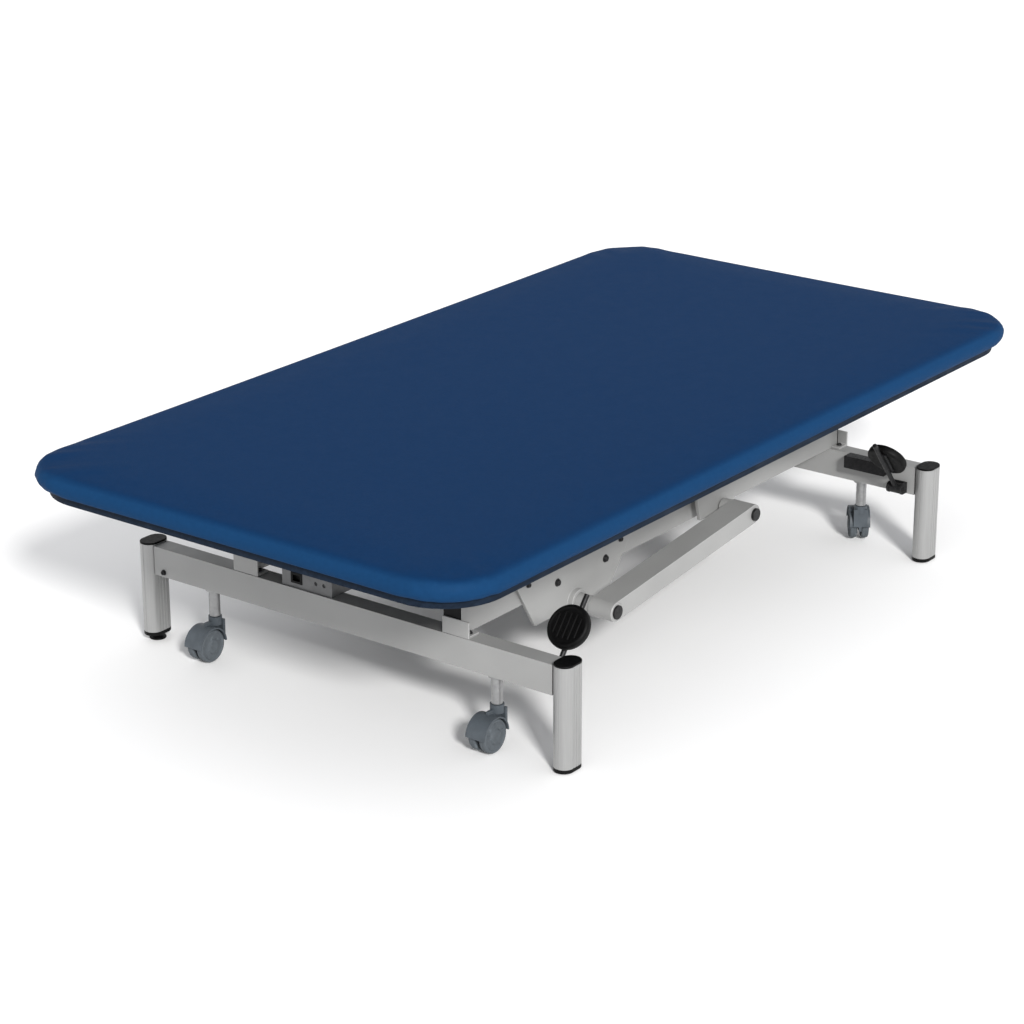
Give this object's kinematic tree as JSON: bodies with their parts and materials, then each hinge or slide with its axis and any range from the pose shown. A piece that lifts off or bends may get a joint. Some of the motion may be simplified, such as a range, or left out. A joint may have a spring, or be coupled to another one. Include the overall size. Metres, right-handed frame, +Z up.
{
  "type": "medical exam table",
  "caption": "Low, wide treatment table: padded blue top on a parallel lifting frame, oval corner posts, two end beams, foot-pedal retractable twin-wheel castors.",
  "frame": {"origin": "on the floor under the centre of the top, table fully lowered", "axes": "+X along the table from the head end to the foot end, +Y across it to the left side, +Z up"},
  "size_m": [1.9998, 1.0798, 0.468],
  "materials": {
    "powder_coat": "satin light grey powder coat",
    "aluminium": "anodised extrusion, satin",
    "steel": "zinc plated",
    "chrome": "polished rod",
    "dark_steel": "black oxide",
    "black_plastic": "moulded, fine texture",
    "grey_plastic": "moulded housing",
    "motor_black": "black coated housing",
    "castor_hood": "blue-grey moulded",
    "castor_wheel": "blue-grey tread",
    "pad_rubber": "ribbed rubber",
    "board": "plywood, dark blue-grey coated",
    "vinyl": "dark blue vinyl-coated upholstery fabric over foam"
  },
  "bodies": {
    "base": {"end_beam_head": "powder_coat", "end_beam_foot": "powder_coat", "post_head_left": "aluminium", "post_head_right": "aluminium", "post_foot_left": "aluminium", "post_foot_right": "aluminium", "post_caps": "black_plastic", "post_plugs": "black_plastic", "base_rail_left": "powder_coat", "base_rail_right": "powder_coat", "rail_end_plugs": "black_plastic", "rail_brackets": "powder_coat", "pivot_plates": "powder_coat", "link_brackets_base": "powder_coat", "base_cross_tube": "powder_coat", "actuator_mount": "dark_steel", "control_box": "grey_plastic", "power_inlet": "black_plastic", "castor_bushes": "steel", "pedal_brackets": "dark_steel", "frame_bolts": "dark_steel", "actuator_motor": "motor_black", "actuator_tube": "aluminium"},
    "lift_arms": {"lift_arm_left": "powder_coat", "lift_arm_right": "powder_coat", "torque_tube": "powder_coat", "crank_lever": "steel", "arm_pivot_pins": "dark_steel"},
    "parallel_links": {"link_left": "powder_coat", "link_right": "powder_coat", "link_shafts": "steel"},
    "top": {"top_rail_left": "powder_coat", "top_rail_right": "powder_coat", "top_cross_members": "powder_coat", "top_pivot_plates": "powder_coat", "link_brackets_top": "powder_coat", "top_board": "board", "mattress": "vinyl", "board_bolts": "steel"},
    "actuator_rod": {"actuator_rod": "chrome"},
    "pedal_head": {"pedal_lever_head": "dark_steel", "pedal_pad_head": "pad_rubber"},
    "pedal_foot": {"pedal_lever_foot": "dark_steel", "pedal_pad_foot": "pad_rubber"},
    "castor_stem_head_left": {"castor_stem_head_left": "steel"},
    "castor_swivel_head_left": {"castor_hood_head_left": "castor_hood"},
    "castor_roll_head_left": {"castor_wheels_head_left": "castor_wheel"},
    "foot_head_left": {"foot_head_left": "black_plastic"},
    "castor_stem_head_right": {"castor_stem_head_right": "steel"},
    "castor_swivel_head_right": {"castor_hood_head_right": "castor_hood"},
    "castor_roll_head_right": {"castor_wheels_head_right": "castor_wheel"},
    "foot_head_right": {"foot_head_right": "black_plastic"},
    "castor_stem_foot_left": {"castor_stem_foot_left": "steel"},
    "castor_swivel_foot_left": {"castor_hood_foot_left": "castor_hood"},
    "castor_roll_foot_left": {"castor_wheels_foot_left": "castor_wheel"},
    "foot_foot_left": {"foot_foot_left": "black_plastic"},
    "castor_stem_foot_right": {"castor_stem_foot_right": "steel"},
    "castor_swivel_foot_right": {"castor_hood_foot_right": "castor_hood"},
    "castor_roll_foot_right": {"castor_wheels_foot_right": "castor_wheel"},
    "foot_foot_right": {"foot_foot_right": "black_plastic"}
  },
  "joints": [
    {"name": "lift_arm_pivot", "type": "hinge", "parent": "base", "child": "lift_arms", "pos_m": [-0.319, 0, 0.1665], "axis": [0, -1, 0], "range_deg": [0, 62]},
    {"name": "top_pivot", "type": "hinge", "parent": "lift_arms", "child": "top", "pos_m": [0.16298, 0, 0.22056], "axis": [0, -1, 0], "range_deg": [-62, 0]},
    {"name": "link_pivot", "type": "hinge", "parent": "base", "child": "parallel_links", "pos_m": [-0.519, 0, 0.2365], "axis": [0, -1, 0], "range_deg": [0, 62]},
    {"name": "actuator_slide", "type": "slide", "parent": "base", "child": "actuator_rod", "axis": [-1, 0, 0], "range_m": [0, 0.1035]},
    {"name": "pedal_hinge_head", "type": "hinge", "parent": "base", "child": "pedal_head", "pos_m": [-0.614, -0.455, 0.161], "axis": [0, 1, 0], "range_deg": [0, 36]},
    {"name": "pedal_hinge_foot", "type": "hinge", "parent": "base", "child": "pedal_foot", "pos_m": [0.614, -0.455, 0.161], "axis": [0, -1, 0], "range_deg": [0, 36]},
    {"name": "castor_lift_head_left", "type": "slide", "parent": "base", "child": "castor_stem_head_left", "axis": [0, 0, -1], "range_m": [0, 0.022]},
    {"name": "castor_swivel_head_left", "type": "hinge", "parent": "castor_stem_head_left", "child": "castor_swivel_head_left", "pos_m": [-0.65, 0.35, 0.09], "axis": [0, 0, 1], "continuous": true},
    {"name": "castor_roll_head_left", "type": "hinge", "parent": "castor_swivel_head_left", "child": "castor_roll_head_left", "pos_m": [-0.68, 0.35, 0.036], "axis": [0, -1, 0], "continuous": true},
    {"name": "castor_lift_head_right", "type": "slide", "parent": "base", "child": "castor_stem_head_right", "axis": [0, 0, -1], "range_m": [0, 0.022]},
    {"name": "castor_swivel_head_right", "type": "hinge", "parent": "castor_stem_head_right", "child": "castor_swivel_head_right", "pos_m": [-0.65, -0.35, 0.09], "axis": [0, 0, 1], "continuous": true},
    {"name": "castor_roll_head_right", "type": "hinge", "parent": "castor_swivel_head_right", "child": "castor_roll_head_right", "pos_m": [-0.68, -0.35, 0.036], "axis": [0, -1, 0], "continuous": true},
    {"name": "castor_lift_foot_left", "type": "slide", "parent": "base", "child": "castor_stem_foot_left", "axis": [0, 0, -1], "range_m": [0, 0.022]},
    {"name": "castor_swivel_foot_left", "type": "hinge", "parent": "castor_stem_foot_left", "child": "castor_swivel_foot_left", "pos_m": [0.65, 0.35, 0.09], "axis": [0, 0, 1], "continuous": true},
    {"name": "castor_roll_foot_left", "type": "hinge", "parent": "castor_swivel_foot_left", "child": "castor_roll_foot_left", "pos_m": [0.62402, 0.365, 0.036], "axis": [-0.5, -0.866, 0], "continuous": true},
    {"name": "castor_lift_foot_right", "type": "slide", "parent": "base", "child": "castor_stem_foot_right", "axis": [0, 0, -1], "range_m": [0, 0.022]},
    {"name": "castor_swivel_foot_right", "type": "hinge", "parent": "castor_stem_foot_right", "child": "castor_swivel_foot_right", "pos_m": [0.65, -0.35, 0.09], "axis": [0, 0, 1], "continuous": true},
    {"name": "castor_roll_foot_right", "type": "hinge", "parent": "castor_swivel_foot_right", "child": "castor_roll_foot_right", "pos_m": [0.67396, -0.33195, 0.036], "axis": [-0.6018, 0.7986, 0], "continuous": true},
    {"name": "foot_screw_head_left", "type": "slide", "parent": "base", "child": "foot_head_left", "axis": [0, 0, -1], "range_m": [-0.011, 0.004]},
    {"name": "foot_screw_head_right", "type": "slide", "parent": "base", "child": "foot_head_right", "axis": [0, 0, -1], "range_m": [0, 0.015]},
    {"name": "foot_screw_foot_left", "type": "slide", "parent": "base", "child": "foot_foot_left", "axis": [0, 0, -1], "range_m": [0, 0.015]},
    {"name": "foot_screw_foot_right", "type": "slide", "parent": "base", "child": "foot_foot_right", "axis": [0, 0, -1], "range_m": [0, 0.015]}
  ],
  "couplings": [
    {"joint": "top_pivot", "follows": "lift_arm_pivot", "ratio": -1},
    {"joint": "link_pivot", "follows": "lift_arm_pivot", "ratio": 1},
    {"joint": "actuator_slide", "follows": "lift_arm_pivot", "m_per_rad": 0.095177},
    {"joint": "castor_lift_head_left", "follows": "pedal_hinge_head", "m_per_rad": 0.03422},
    {"joint": "castor_lift_head_right", "follows": "pedal_hinge_head", "m_per_rad": 0.03422},
    {"joint": "castor_lift_foot_left", "follows": "pedal_hinge_foot", "m_per_rad": 0.03422},
    {"joint": "castor_lift_foot_right", "follows": "pedal_hinge_foot", "m_per_rad": 0.03422}
  ]
}
